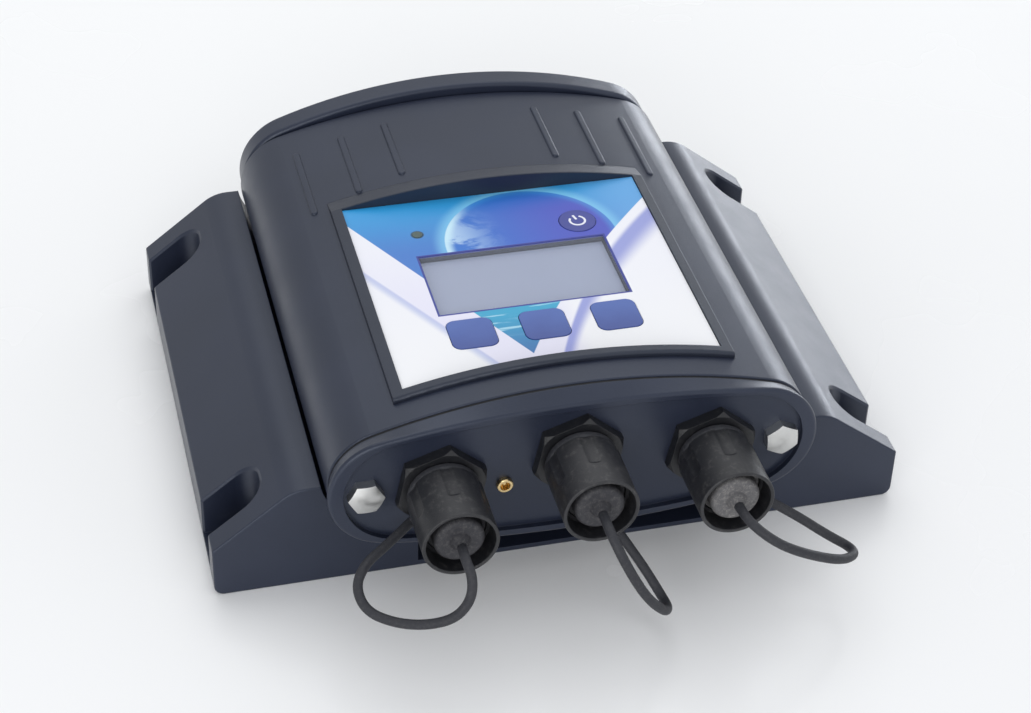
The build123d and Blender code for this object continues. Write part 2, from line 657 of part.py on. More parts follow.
def tab_end(index):
    """The point where a lanyard meets the tab of its collar."""
    angle = math.radians(TAB_ANGLES[index])
    middle = (COLLAR_FRONT + COLLAR_BACK) / 2
    x = CONNECTOR_X[index] + TAB_REACH * math.cos(angle)
    z = AXIS_HEIGHT + CONNECTOR_RAISE[index] + TAB_REACH * math.sin(angle)
    return (x, middle, z)


def lanyard_route(index):
    """A lanyard's points, from the plug's root, round its hanging loop, to the collar's tab."""
    x, z = CONNECTOR_X[index], AXIS_HEIGHT + CONNECTOR_RAISE[index]
    start = (x, PLUG_FACE - ROOT_LENGTH, z)
    loop = [(px, FRONT + py, pz) for px, py, pz in LANYARD_LOOPS[index]]
    return [start, *loop, tab_end(index)]


def lanyard(index):
    """One rubber lanyard, swept along straight runs joined by tangent arcs."""
    points = [Vector(*point) for point in lanyard_route(index)]
    runs = [after - before for before, after in zip(points, points[1:])]
    radii = []
    for before, after in zip(runs, runs[1:]):
        half_turn = math.radians(before.get_angle(after)) / 2
        radii.append(0.45 * min(before.length, after.length) / math.tan(half_turn))
    path = FilletPolyline(*points, radius=radii)
    section = Plane(origin=points[0], z_dir=runs[0]) * Circle(LANYARD_DIAMETER / 2)
    tube = sweep(section, path)
    expected = math.pi * LANYARD_DIAMETER**2 / 4 * path.length
    print(f"lanyard {index + 1}: radii", [round(radius, 1) for radius in radii])
    print(f"  length {path.length:.1f} mm, volume {tube.volume:.0f} of {expected:.0f} mm3")
    return tube


# ---- write every node ----
BOLT_XS = (-BOLT_X, BOLT_X)
cradle_screw_places = [(x, y) for x in (-CRADLE_SCREW_X, CRADLE_SCREW_X) for y in CRADLE_SCREW_Y]
save("mounting_cradle", mounting_cradle())
save("cradle_screws", *[cradle_screw(x, y) for x, y in cradle_screw_places])
save("saddle_pads", *[saddle_pad(x, y) for x in (-66, 66) for y in (-45, 45)])

save("body_tube", body_tube())
front_inserts = [threaded_insert(x, TUBE_FRONT, TUBE_FRONT + INSERT_LENGTH) for x in BOLT_XS]
rear_inserts = [threaded_insert(x, TUBE_REAR - INSERT_LENGTH, TUBE_REAR) for x in BOLT_XS]
save("threaded_inserts", *front_inserts, *rear_inserts)
save("front_cap", front_cap())
save("rear_cap", rear_cap())
save("front_gasket", cap_gasket(CAP_BACK))
save("rear_gasket", cap_gasket(TUBE_REAR))
save("front_cap_bolts", *[cap_bolt(x, CAP_FACE, -1, turn) for x, turn in zip(BOLT_XS, BOLT_TURNS)])
save("rear_cap_bolts", *[cap_bolt(x, REAR_CAP_BACK, 1) for x in BOLT_XS])

display_width, display_depth = DISPLAY_SIZE
window_bottom = CARRIER_BOTTOM + 1.2
window = Rectangle(display_width, display_depth)
backlight_top = CARRIER_BOTTOM - 1.8
backlight = Rectangle(display_width + 2, display_depth + 2)
save("display_bezel", display_bezel())
save("graphic_overlay", panel_sheet(PANEL_TOP, CARRIER_TOP, 0.15))
save("panel_carrier", panel_sheet(CARRIER_TOP, CARRIER_BOTTOM, 0.1))
save("display_window", plate(0, DISPLAY_Y, PANEL_TOP - 0.25, window_bottom, window))
save("display_module", display_module())
save("display_backlight", plate(0, DISPLAY_Y, backlight_top, backlight_top - 2.2, backlight))
save("status_led", plate(*STATUS_LED_AT, PANEL_TOP + 0.1, CARRIER_BOTTOM - 1.0, Circle(1.8)))
for name, place in zip(("left", "middle", "right"), KEY_PLACES):
    save(f"soft_key_{name}", key(*place, key_outline))
save("power_key", key(*POWER_KEY_AT, power_outline))

keypad = block((-46, WINDOW_FRONT + 8, KEYPAD_TOP - 1.6), (46, DISPLAY_Y - 20.5, KEYPAD_TOP))
power_board = block((14, DISPLAY_Y + 20.5, KEYPAD_TOP - 1.6), (46, WINDOW_REAR - 4, KEYPAD_TOP))
save("keypad_board", keypad, power_board)
dome_places = [*KEY_PLACES, POWER_KEY_AT]
save("key_domes", *[plate(x, y, KEYPAD_TOP + 0.4, KEYPAD_TOP, Circle(4)) for x, y in dome_places])

board_screw_places = [(x, FRONT + y) for x in (-40, 40) for y in (36, 114)]
save("main_board", main_board(board_screw_places))
save("board_components", *board_parts())
save("board_spacers", *[board_spacer(x, y) for x, y in board_screw_places])
save("board_screws", *[board_screw(x, y) for x, y in board_screw_places])
tray, cells = battery_pack()
save("battery_tray", tray)
save("battery_cells", *cells)

save("coax_socket", coax_socket())
save("coax_contact", rod(COAX_X, COAX_Z, COAX_FRONT + 1.4, CAP_BACK + 10, 0.6))
save("coax_nut", coax_nut())
for index in CONNECTORS:
    x, z = CONNECTOR_X[index], AXIS_HEIGHT + CONNECTOR_RAISE[index]
    number = index + 1
    save(f"connector_shell_{number}", connector_shell(x, z))
    save(f"contact_insert_{number}", contact_insert(x, z))
    save(f"panel_nut_{number}", hex_nut(x, z))
    save(f"panel_seal_{number}", ring(x, z, CAP_BACK, CAP_BACK + 1.0, 12.6, BARREL_DIAMETER / 2))
    save(f"cap_ring_{number}", cap_ring(x, z))
    save(f"cap_plug_{number}", cap_plug(x, z))
    save(f"lanyard_collar_{number}", lanyard_collar(x, z, TAB_ANGLES[index]))
    save(f"lanyard_{number}", lanyard(index))
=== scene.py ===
"""Looks for an instrument control and display unit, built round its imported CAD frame.

Everything is in metres in the frame's own axes: +X right, +Y to the rear, +Z up.
"""

import math

import bmesh
import bpy
from mathutils import Matrix, Vector


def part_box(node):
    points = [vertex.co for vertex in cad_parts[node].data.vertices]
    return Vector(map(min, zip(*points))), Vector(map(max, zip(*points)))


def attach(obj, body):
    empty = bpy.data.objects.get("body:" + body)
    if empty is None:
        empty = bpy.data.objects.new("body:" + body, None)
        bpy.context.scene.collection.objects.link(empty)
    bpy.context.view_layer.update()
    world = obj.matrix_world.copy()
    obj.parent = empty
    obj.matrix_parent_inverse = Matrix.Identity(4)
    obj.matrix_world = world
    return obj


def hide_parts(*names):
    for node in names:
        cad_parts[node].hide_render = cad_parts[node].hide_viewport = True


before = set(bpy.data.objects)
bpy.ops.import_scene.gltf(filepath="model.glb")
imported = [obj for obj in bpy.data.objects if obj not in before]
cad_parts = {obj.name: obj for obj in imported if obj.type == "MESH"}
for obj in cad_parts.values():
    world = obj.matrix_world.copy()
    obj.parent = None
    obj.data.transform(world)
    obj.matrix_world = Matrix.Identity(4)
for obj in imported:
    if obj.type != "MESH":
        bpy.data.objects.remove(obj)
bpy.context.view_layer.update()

# ---- sizes ----
MM = 0.001
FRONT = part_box("mounting_cradle")[0].y
CONNECTORS = (1, 2, 3)
LANYARD_DIAMETER = 3.2 * MM
TAB_REACH = 14.5 * MM
TAB_ANGLES = (222.0, 290.0, 300.0)
KEY_MIDDLE = FRONT + 33.1 * MM
CELL_PITCH = 51 * MM
BLUE_SHEEN = (0.80, 0.87, 1.0)

# Where the label's picture sits, in millimetres: x, and distance behind the cradle's front.
DISPLAY_MIDDLE = 62.0
DISC_CENTRE = (8.0, 81.0)
DISC_RADIUS = 30.4
STATUS_LIGHT = (-30.4, 92.3)
CHEVRON_TIP = (-7.5, 18.5)

# Hanging loops of the lanyards, in millimetres: x, distance behind the cradle's front, z.
LANYARD_LOOPS = (
    [
        (-46.0, -49.0, 46.5),
        (-44.5, -53.5, 42.5),
        (-45.5, -56.5, 36.0),
        (-50.5, -57.0, 29.5),
        (-59.0, -54.5, 26.0),
        (-68.0, -50.5, 25.0),
        (-76.0, -44.0, 25.5),
        (-78.0, -37.0, 30.0),
        (-73.5, -30.0, 32.5),
        (-65.0, -23.0, 32.5),
    ],
    [
        (-0.5, -48.0, 50.0),
        (0.5, -54.0, 47.5),
        (4.5, -58.0, 38.5),
        (10.5, -59.0, 27.0),
        (18.0, -55.5, 16.5),
        (21.5, -49.0, 11.5),
        (21.5, -42.0, 10.0),
        (17.5, -35.0, 16.5),
        (13.0, -28.0, 22.5),
        (8.5, -20.5, 28.0),
    ],
    [
        (45.0, -48.0, 44.5),
        (49.5, -53.5, 41.5),
        (56.0, -56.5, 37.5),
        (65.5, -57.0, 32.5),
        (77.0, -54.0, 25.5),
        (84.5, -48.0, 21.0),
        (86.0, -40.5, 17.5),
        (80.5, -34.0, 18.0),
        (72.0, -28.0, 22.5),
        (62.5, -21.5, 26.5),
    ],
)


# ---- camera ----
def add_camera():
    """A long lens, above and to the left of the unit's front."""
    yaw, pitch, roll = (math.radians(angle) for angle in (15.237, 37.72, 1.867))
    data = bpy.data.cameras.new("camera")
    data.sensor_fit = "HORIZONTAL"
    data.sensor_width = 36.0
    data.lens = 80.88
    camera = bpy.data.objects.new("camera", data)
    turn = Matrix.Rotation(-yaw, 4, "Z") @ Matrix.Rotation(math.pi / 2 - pitch, 4, "X")
    place = Matrix.Translation((-0.17012, -0.64328, 0.52842))
    camera.matrix_world = place @ turn @ Matrix.Rotation(roll, 4, "Z")
    bpy.context.collection.objects.link(camera)
    bpy.context.scene.camera = camera


# ---- node graphs ----
def srgb(red, green, blue):
    """A display colour from 0 to 255 as the linear colour that a shader takes."""
    linear = []
    for value in (red / 255, green / 255, blue / 255):
        linear.append(value / 12.92 if value <= 0.04045 else ((value + 0.055) / 1.055) ** 2.4)
    return (*linear, 1.0)


class Graph:
    """A material's nodes, with short calls that add and link them."""

    def __init__(self, name, **settings):
        self.material = bpy.data.materials.new(name)
        self.material.use_nodes = True
        self.tree = self.material.node_tree
        self.surface = self.tree.nodes["Principled BSDF"]
        self.place = self.node("ShaderNodeTexCoord").outputs["Object"]
        self.set(**settings)

    def feed(self, socket, value):
        """Links an output to a socket, or sets the socket's own value."""
        if isinstance(value, bpy.types.NodeSocket):
            self.tree.links.new(value, socket)
        else:
            socket.default_value = value

    def node(self, kind, inputs=None, **settings):
        """Adds a node."""
        made = self.tree.nodes.new(kind)
        for name, value in settings.items():
            setattr(made, name, value)
        for socket, value in (inputs or {}).items():
            self.feed(made.inputs[socket], value)
        return made

    def set(self, **inputs):
        """Sets sockets of the surface shader; base_color means Base Color."""
        names = {"ior": "IOR", "ior_level": "Specular IOR Level"}
        for name, value in inputs.items():
            socket = names.get(name, name.replace("_", " ").title())
            self.feed(self.surface.inputs[socket], value)

    def math(self, operation, first, second=0.0, clamp=False):
        """One sum on two numbers."""
        made = self.node("ShaderNodeMath", {0: first, 1: second}, operation=operation)
        made.use_clamp = clamp
        return made.outputs[0]

    def add(self, first, *others):
        """The sum of several numbers."""
        for other in others:
            first = self.math("ADD", first, other)
        return first

    def times(self, first, *others):
        """The product of several numbers."""
        for other in others:
            first = self.math("MULTIPLY", first, other)
        return first

    def minus(self, first, second):
        """One number less another."""
        return self.math("SUBTRACT", first, second)

    def step(self, value, low, high, out_low=0.0, out_high=1.0):
        """A smooth step from one value to another as the input goes from low to high."""
        made = self.node("ShaderNodeMapRange", interpolation_type="SMOOTHSTEP")
        for socket, number in enumerate((value, low, high, out_low, out_high)):
            self.feed(made.inputs[socket], number)
        return made.outputs["Result"]

    def stretched(self, across, along, up=1.0, place=None):
        """Coordinates scaled differently on each axis."""
        scale = {0: place or self.place, 1: (across, along, up)}
        return self.node("ShaderNodeVectorMath", scale, operation="MULTIPLY").outputs[0]

    def noise(self, scale, detail=3.0, roughness=0.5, place=None, distortion=0.0):
        """Soft noise, from 0 to 1."""
        inputs = {"Vector": place or self.place, "Scale": scale, "Detail": detail}
        inputs |= {"Roughness": roughness, "Distortion": distortion}
        return self.node("ShaderNodeTexNoise", inputs).outputs["Fac"]

    def mix(self, factor, first, second, blend="MIX"):
        """One colour laid over another."""
        made = self.node("ShaderNodeMix", data_type="RGBA", blend_type=blend)
        for socket, value in ((0, factor), (6, first), (7, second)):
            self.feed(made.inputs[socket], value)
        return made.outputs[2]

    def bump(self, height, depth, strength=1.0, normal=None):
        """A normal from a height map of that depth in metres."""
        inputs = {"Height": height, "Distance": depth, "Strength": strength}
        if normal is not None:
            inputs["Normal"] = normal
        return self.node("ShaderNodeBump", inputs).outputs["Normal"]

    def rounded(self, radius):
        """The normal with sharp edges eased to a radius."""
        return self.node("ShaderNodeBevel", {"Radius": radius}, samples=4).outputs[0]


# ---- materials ----
def moulded_plastic(
    name, dark, light, roughness, grain=0.00004, edge=0.0004, dust=0.0, tint=(1.0, 1.0, 1.0)
):
    """Satin moulded plastic: fine spark texture, uneven sheen, eased edges and a little dust."""
    graph = Graph(name, ior_level=0.56, specular_tint=(*tint, 1.0))
    broad = graph.noise(28.0, 4.0)
    speckle = graph.noise(1900.0, 2.0)
    tone = graph.add(graph.times(broad, 0.7), graph.times(speckle, 0.3))
    colour = graph.mix(graph.step(tone, 0.35, 0.65), dark, light)
    if dust:
        settled = graph.step(graph.noise(420.0, 6.0, 0.75), 0.5, 0.72, 0.0, dust)
        colour = graph.mix(settled, colour, srgb(150, 148, 145))
    smear = graph.noise(55.0, 5.0, 0.6)
    sheen = graph.step(smear, 0.2, 0.8, roughness - 0.05, roughness + 0.06)
    graph.set(base_color=colour, roughness=sheen)
    spark = graph.noise(2600.0, 3.0, 0.7)
    graph.set(normal=graph.bump(spark, grain, normal=graph.rounded(edge)))
    return graph.material


def rubber(name, dark, light, dust=0.0):
    """Matt rubber with a dusty bloom."""
    graph = Graph(name, ior_level=0.35)
    tone = graph.noise(240.0, 5.0, 0.65)
    colour = graph.mix(tone, dark, light)
    if dust:
        bloom = graph.step(graph.noise(900.0, 6.0, 0.8), 0.45, 0.75, 0.0, dust)
        colour = graph.mix(bloom, colour, srgb(170, 166, 162))
    graph.set(base_color=colour, roughness=graph.step(tone, 0.3, 0.7, 0.5, 0.66))
    graph.set(normal=graph.bump(graph.noise(3000.0, 3.0), 0.00003))
    return graph.material


def metal(name, dark, light, roughness, scratch_scale=(900.0, 900.0, 120.0), edge=0.0002):
    """Machined metal with fine tool marks and a few scratches."""
    graph = Graph(name, metallic=1.0)
    marks = graph.noise(1.0, 4.0, 0.6, graph.stretched(*scratch_scale))
    stain = graph.noise(160.0, 4.0)
    colour = graph.mix(stain, dark, light)
    polish = graph.step(marks, 0.3, 0.7, roughness - 0.06, roughness + 0.1)
    graph.set(base_color=colour, roughness=polish)
    graph.set(normal=graph.bump(marks, 0.00001, normal=graph.rounded(edge)))
    return graph.material


def circuit_board():
    """Green solder mask over copper tracks."""
    graph = Graph("circuit_board", roughness=0.35, coat_weight=0.3)
    inputs = {"Vector": graph.place, "Scale": 260.0}
    tracks = graph.node("ShaderNodeTexBrick", {**inputs, "Mortar Size": 0.06}).outputs["Fac"]
    weave = graph.noise(1500.0, 2.0)
    colour = graph.mix(tracks, srgb(16, 70, 44), srgb(30, 96, 58))
    graph.set(base_color=graph.mix(graph.times(weave, 0.2), colour, srgb(10, 40, 26)))
    graph.set(normal=graph.bump(tracks, 0.00003))
    return graph.material


def battery_wrap():
    """A printed shrink sleeve, a dark band above a light one."""
    graph = Graph("battery_wrap", roughness=0.3, coat_weight=0.5)
    along = graph.node("ShaderNodeSeparateXYZ", {0: graph.place}).outputs["Y"]
    wave = graph.math("SINE", graph.times(along, 2 * math.pi / CELL_PITCH))
    colour = graph.mix(graph.step(wave, -0.05, 0.05), srgb(34, 36, 42), srgb(176, 132, 66))
    graph.set(base_color=graph.mix(graph.times(graph.noise(300.0), 0.15), colour, srgb(210, 205, 195)))
    return graph.material


def clear_window():
    """Hard-coated clear plastic, thin enough that the display shows straight through."""
    graph = Graph("clear_window", base_color=srgb(190, 196, 210), ior=1.49, coat_weight=0.4)
    smear = graph.noise(45.0, 5.0, 0.6)
    graph.set(roughness=graph.step(smear, 0.3, 0.7, 0.12, 0.2), alpha=0.14)
    graph.set(normal=graph.bump(graph.noise(700.0, 2.0), 0.000004))
    return graph.material


def liquid_crystal():
    """An unlit reflective display: silvery grey with a barely visible grid of dots."""
    graph = Graph("liquid_crystal", ior_level=0.3, roughness=0.4)
    split = graph.node("ShaderNodeSeparateXYZ", {0: graph.place})
    pitch = 0.5 * MM
    gaps = []
    for axis in ("X", "Y"):
        phase = graph.math("FRACT", graph.times(split.outputs[axis], 1 / pitch))
        gaps.append(graph.step(phase, 0.86, 0.94))
    grid = graph.math("MAXIMUM", *gaps)
    cloud = graph.noise(30.0, 3.0)
    colour = graph.mix(cloud, srgb(170, 179, 203), srgb(180, 188, 210))
    graph.set(base_color=graph.mix(graph.times(grid, 0.12), colour, srgb(140, 150, 170)))
    return graph.material


def diffuser():
    """Milky white backlight."""
    graph = Graph("diffuser", roughness=0.5, subsurface_weight=0.3)
    graph.set(base_color=graph.mix(graph.noise(200.0), srgb(225, 230, 228), srgb(238, 240, 236)))
    return graph.material


def light_lens():
    """The dark tinted lens of the status light."""
    graph = Graph("light_lens", ior=1.5, coat_weight=1.0, roughness=0.2)
    graph.set(base_color=graph.mix(graph.noise(900.0), srgb(24, 52, 50), srgb(52, 84, 74)))
    return graph.material


def key_face():
    """Printed blue key tops, a little lighter towards the upper left."""
    graph = Graph("key_face", ior_level=0.5, coat_weight=0.15, coat_roughness=0.25)
    split = graph.node("ShaderNodeSeparateXYZ", {0: graph.place})
    half_key = 8 * MM
    fall = graph.times(graph.minus(split.outputs["Y"], KEY_MIDDLE), 1 / half_key)
    tone = graph.add(graph.times(fall, 0.4), graph.times(graph.noise(90.0, 3.0), 0.5))
    colour = graph.mix(graph.step(tone, -0.3, 0.7), srgb(57, 78, 150), srgb(76, 104, 176))
    graph.set(base_color=colour, roughness=graph.step(graph.noise(60.0), 0.3, 0.7, 0.3, 0.42))
    graph.set(normal=graph.bump(graph.noise(2400.0, 3.0), 0.00002, normal=graph.rounded(0.0003)))
    return graph.material


def power_face():
    """The power key's top: a darker violet blue with a soft rim."""
    graph = Graph("power_face", coat_weight=0.15, coat_roughness=0.25)
    tone = graph.noise(140.0, 3.0)
    graph.set(base_color=graph.mix(tone, srgb(52, 62, 142), srgb(66, 74, 158)))
    graph.set(roughness=graph.step(tone, 0.3, 0.7, 0.3, 0.42))
    graph.set(normal=graph.bump(graph.noise(2400.0, 3.0), 0.00002, normal=graph.rounded(0.0003)))
    return graph.material


def white_ink():
    """Opaque white screen print."""
    graph = Graph("white_ink", roughness=0.4)
    graph.set(base_color=graph.mix(graph.noise(1200.0, 3.0), srgb(226, 228, 240), srgb(244, 245, 252)))
    graph.set(normal=graph.bump(graph.noise(3000.0), 0.00001))
    return graph.material


class LabelPrint(Graph):
    """The printed label: a blue chevron with a lit disc on white, laid out in millimetres."""

    SOFT = 0.18

    def __init__(self):
        super().__init__("label_print", ior_level=0.5, coat_weight=0.1, coat_roughness=0.3)
        split = self.node("ShaderNodeSeparateXYZ", {0: self.place})
        self.x = self.times(split.outputs["X"], 1 / MM)
        self.y = self.minus(self.times(split.outputs["Y"], 1 / MM), FRONT / MM)
        self.fine = self.noise(1.0, 4.0, 0.6, self.stretched(450.0, 450.0))
        white = self.paper()
        print_colour = self.mix(self.chevron(), white, self.sky())
        print_colour = self.mix(self.window_outline(), print_colour, srgb(52, 62, 150))
        print_colour = self.mix(self.light_ring(), print_colour, srgb(40, 84, 120))
        self.set(base_color=print_colour)
        self.set(roughness=self.step(self.noise(70.0, 4.0), 0.3, 0.7, 0.3, 0.4))
        orange_peel = self.noise(2200.0, 3.0)
        self.set(normal=self.bump(orange_peel, 0.000012))

    def line(self, start, end):
        """Signed distance to a straight line, positive on its right as it runs from start to end."""
        run = Vector(end) - Vector(start)
        run.normalize()
        across = self.times(self.minus(self.x, start[0]), -run.y)
        return self.add(across, self.times(self.minus(self.y, start[1]), run.x))

    def distance(self, point):
        """Distance from a point on the label."""
        away_x, away_y = self.minus(self.x, point[0]), self.minus(self.y, point[1])
        return self.math("SQRT", self.add(self.times(away_x, away_x), self.times(away_y, away_y)))

    def curve_x(self, foot, slope, bend):
        """Distance to the left of a gently bending edge that climbs to the right from a foot point."""
        climb = self.minus(self.y, foot[1])
        edge = self.add(self.times(climb, slope), self.times(climb, climb, bend), foot[0])
        return self.times(self.minus(edge, self.x), 0.8)

    def chevron(self):
        """The blue V: between its straight left edge and its bending right edge."""
        left = self.step(self.line((-53.0, 102.0), CHEVRON_TIP), -self.SOFT, self.SOFT)
        right = self.step(self.curve_x(CHEVRON_TIP, 0.5475, 0.00261), -self.SOFT, self.SOFT)
        return self.times(left, right)

    def paper(self):
        """White ground with a lavender band, a soft shadow line and a soft blue stripe."""
        left_line = self.line((-53.0, 73.0), (-20.0, 15.0))
        band = self.times(self.step(left_line, -0.8, 0.6), self.step(self.x, 14.0, 4.0))
        ground = self.mix(self.step(self.y, 20.0, 75.0), srgb(245, 245, 247), srgb(243, 243, 249))
        low = self.step(self.y, 100.0, 35.0)
        ground = self.mix(self.times(band, low, 0.55), ground, srgb(222, 218, 246))
        near = self.times(self.step(left_line, -3.4, -0.2), self.step(left_line, 1.2, 0.2))
        shadow = self.times(near, self.step(self.x, 0.0, -12.0), 0.6)
        ground = self.mix(shadow, ground, srgb(164, 178, 226))
        stripe = self.curve_x((3.0, 14.0), 0.40, 0.0040)
        wide = self.step(self.y, 20.0, 90.0, 2.6, 8.0)
        fade = self.math("DIVIDE", stripe, wide)
        body = self.times(self.step(fade, -1.1, 0.1), self.step(fade, 0.75, 0.4))
        return self.mix(self.times(body, 0.8), ground, srgb(120, 132, 212))

    def sky(self):
        """The chevron's picture: a clear sky, a lit disc, and rippled water below the display."""
        height = self.step(self.y, 78.0, 112.0)
        sky = self.mix(height, srgb(66, 124, 204), srgb(46, 158, 222))
        sky = self.mix(self.step(self.x, 18.0, 50.0, 0.0, 0.75), sky, srgb(104, 172, 230))
        radius = self.distance(DISC_CENTRE)
        halo = self.times(self.step(radius, 35.5, 30.3), 0.6)
        sky = self.mix(halo, sky, srgb(140, 214, 246))
        disc = self.mix(self.step(self.x, -22.0, 30.0), srgb(44, 116, 206), srgb(74, 84, 192))
        disc = self.mix(self.step(self.y, 97.0, 111.0, 0.0, 0.7), disc, srgb(24, 116, 206))
        disc = self.mix(self.step(radius, 27.0, 30.5, 0.0, 0.5), disc, srgb(70, 160, 228))
        swirl = self.noise(1.0, 6.0, 0.62, self.stretched(60.0, 95.0), 0.9)
        lit = self.step(self.add(self.x, self.times(self.y, 0.12)), 12.0, -16.0)
        cloud = self.times(self.step(swirl, 0.40, 0.56), lit, self.step(self.y, 108.0, 92.0))
        disc = self.mix(self.times(cloud, 0.85), disc, srgb(206, 234, 252))
        limb = self.times(self.step(radius, 26.5, 30.0), self.step(self.x, -8.0, -19.0))
        disc = self.mix(self.times(limb, 0.9), disc, srgb(206, 240, 252))
        soft_edge = 0.2
        rim = self.step(radius, DISC_RADIUS + soft_edge, DISC_RADIUS - soft_edge)
        sky = self.mix(rim, sky, disc)
        ripple = self.noise(1.0, 4.0, 0.55, self.stretched(50.0, 520.0), 0.4)
        ripple = self.times(self.step(ripple, 0.53, 0.64), self.step(self.y, 28.0, 33.0))
        water = self.mix(self.step(self.y, 18.0, 46.0), srgb(50, 116, 178), srgb(52, 168, 206))
        water = self.mix(self.times(ripple, 0.8), water, srgb(176, 224, 240))
        return self.mix(self.step(self.y, 52.0, 48.0), sky, water)

    def window_outline(self):
        """A thin dark border round the display opening."""
        half_width, half_depth = 33.6, 17.7
        across = self.math("ABSOLUTE", self.x)
        along = self.math("ABSOLUTE", self.minus(self.y, DISPLAY_MIDDLE))
        gap = self.math("MAXIMUM", self.minus(across, half_width), self.minus(along, half_depth))
        return self.step(gap, 0.08, -0.08)

    def light_ring(self):
        """A dark ring printed round the status light."""
        return self.step(self.distance(STATUS_LIGHT), 2.5, 2.2)


# ---- lights, floor and backdrop ----
def area_light(name, place, aim, size, power, colour=(1.0, 1.0, 1.0)):
    """A soft box at a place, facing a point."""
    data = bpy.data.lights.new(name, "AREA")
    data.shape = "RECTANGLE"
    data.size, data.size_y = size
    data.energy = power
    data.color = colour
    light = bpy.data.objects.new(name, data)
    toward = Vector(aim) - Vector(place)
    light.rotation_euler = toward.to_track_quat("-Z", "Y").to_euler()
    light.location = place
    bpy.context.collection.objects.link(light)


def add_floor():
    """A pale sweep with painted shade: its colour is a little darker towards the viewer, in place of
    light falling off from the back.
    """
    mesh = bpy.data.meshes.new("floor")
    reach = 4.0
    corners = [(-reach, -reach, 0), (reach, -reach, 0), (reach, reach, 0), (-reach, reach, 0)]
    mesh.from_pydata(corners, [], [(0, 1, 2, 3)])
    floor = bpy.data.objects.new("floor", mesh)
    bpy.context.collection.objects.link(floor)
    graph = Graph("floor_painted_falloff", ior_level=0.4)
    along = graph.node("ShaderNodeSeparateXYZ", {0: graph.place}).outputs["Y"]
    # painted shade: the floor colour darkens towards the viewer, standing in for light falloff from
    # the lamps behind
    sweep = graph.mix(graph.step(along, -0.25, 0.45), srgb(247, 247, 247), srgb(254, 254, 253))
    mottle = graph.times(graph.noise(3.0), 0.1)
    graph.set(base_color=graph.mix(mottle, sweep, srgb(244, 245, 247)))
    graph.set(roughness=graph.step(graph.noise(9.0), 0.2, 0.8, 0.2, 0.3))
    mesh.materials.append(graph.material)


def add_surround():
    """An even sky that is a little darker on the left."""
    world = bpy.data.worlds.new("surround")
    world.use_nodes = True
    bpy.context.scene.world = world
    nodes, links = world.node_tree.nodes, world.node_tree.links
    direction = nodes.new("ShaderNodeTexCoord")
    split = nodes.new("ShaderNodeSeparateXYZ")
    across = nodes.new("ShaderNodeMapRange")
    ranges = {"From Min": -0.8, "From Max": 0.2, "To Min": 0.62, "To Max": 0.87}
    for name, value in ranges.items():
        across.inputs[name].default_value = value
    links.new(direction.outputs["Generated"], split.inputs[0])
    links.new(split.outputs["X"], across.inputs["Value"])
    background = nodes["Background"]
    background.inputs["Color"].default_value = (0.95, 0.97, 1.0, 1.0)
    links.new(across.outputs["Result"], background.inputs["Strength"])


def add_studio():
    """The floor, the surround, a soft box overhead, a low strip behind and a fill before."""
    add_floor()
    add_surround()
    cool = (0.9, 0.94, 1.0)
    area_light("overhead", (0.1, 0.75, 1.5), (0, 0.15, 0), (1.6, 1.2), 5.0)
    area_light("right_rear", (1.15, 1.15, 0.10), (0.05, 0.0, 0.04), (1.2, 0.18), 5.2, cool)
    area_light("front_fill", (-0.75, -1.5, 0.6), (0, -0.1, 0.03), (1.4, 0.8), 10.0)
    bpy.context.scene.view_settings.view_transform = "Standard"


# ---- pieces ----
def add_piece(name, mesh, body, material):
    """A mesh piece that rides on a body and takes its finish from a slot."""
    piece = bpy.data.objects.new(name, mesh)
    bpy.context.collection.objects.link(piece)
    mesh.materials.append(material)
    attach(piece, body)
    return piece


def connector_centre(number):
    """The axis of a connector, as x and z."""
    low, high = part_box(f"connector_shell_{number}")
    return (low.x + high.x) / 2, (low.z + high.z) / 2


def add_lanyard(number, material):
    """A lanyard, from the plug's root round its hanging loop to the tab of its collar."""
    x, z = connector_centre(number)
    exit_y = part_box(f"cap_plug_{number}")[0].y
    collar_low, collar_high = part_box(f"lanyard_collar_{number}")
    angle = math.radians(TAB_ANGLES[number - 1])
    tab_x, tab_z = x + TAB_REACH * math.cos(angle), z + TAB_REACH * math.sin(angle)
    tab = (tab_x, (collar_low.y + collar_high.y) / 2, tab_z)
    loop = [(px * MM, FRONT + py * MM, pz * MM) for px, py, pz in LANYARD_LOOPS[number - 1]]
    route = [(x, exit_y, z), *loop, tab]
    curve = bpy.data.curves.new(f"lanyard_cord_{number}", "CURVE")
    curve.dimensions = "3D"
    curve.resolution_u = 10
    curve.bevel_depth = LANYARD_DIAMETER / 2
    curve.bevel_resolution = 6
    curve.use_fill_caps = True
    spline = curve.splines.new("NURBS")
    spline.points.add(len(route) - 1)
    for point, place in zip(spline.points, route):
        point.co = (*place, 1.0)
    spline.order_u = 3
    spline.use_endpoint_u = True
    cord = bpy.data.objects.new(f"lanyard_cord_{number}", curve)
    bpy.context.collection.objects.link(cord)
    curve.materials.append(material)
    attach(cord, "root")
    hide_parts(f"lanyard_{number}")


